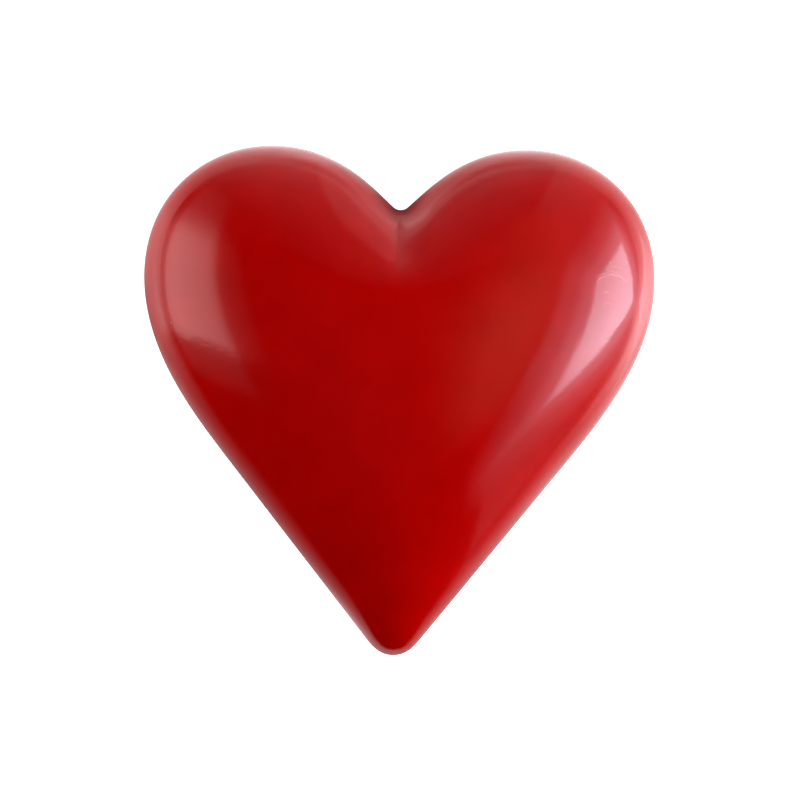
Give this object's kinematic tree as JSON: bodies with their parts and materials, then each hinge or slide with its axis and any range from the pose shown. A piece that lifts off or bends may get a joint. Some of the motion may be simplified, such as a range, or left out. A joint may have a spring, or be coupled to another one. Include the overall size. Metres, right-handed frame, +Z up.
{
  "type": "chocolate heart",
  "caption": "Solid moulded heart of white chocolate coloured red, glossy and domed on top, flat underneath, with a rounded tip and a soft valley between its lobes.",
  "frame": {"origin": "on the ground, in the middle of the heart's width and length", "axes": "+X across the heart to its right lobe, +Y from the tip to the lobes, +Z up through the dome"},
  "size_m": [0.1, 0.0994, 0.019],
  "materials": {
    "red_white_chocolate": "glossy moulded white chocolate coloured red"
  },
  "bodies": {
    "root": {"chocolate_heart": "red_white_chocolate"}
  },
  "joints": []
}
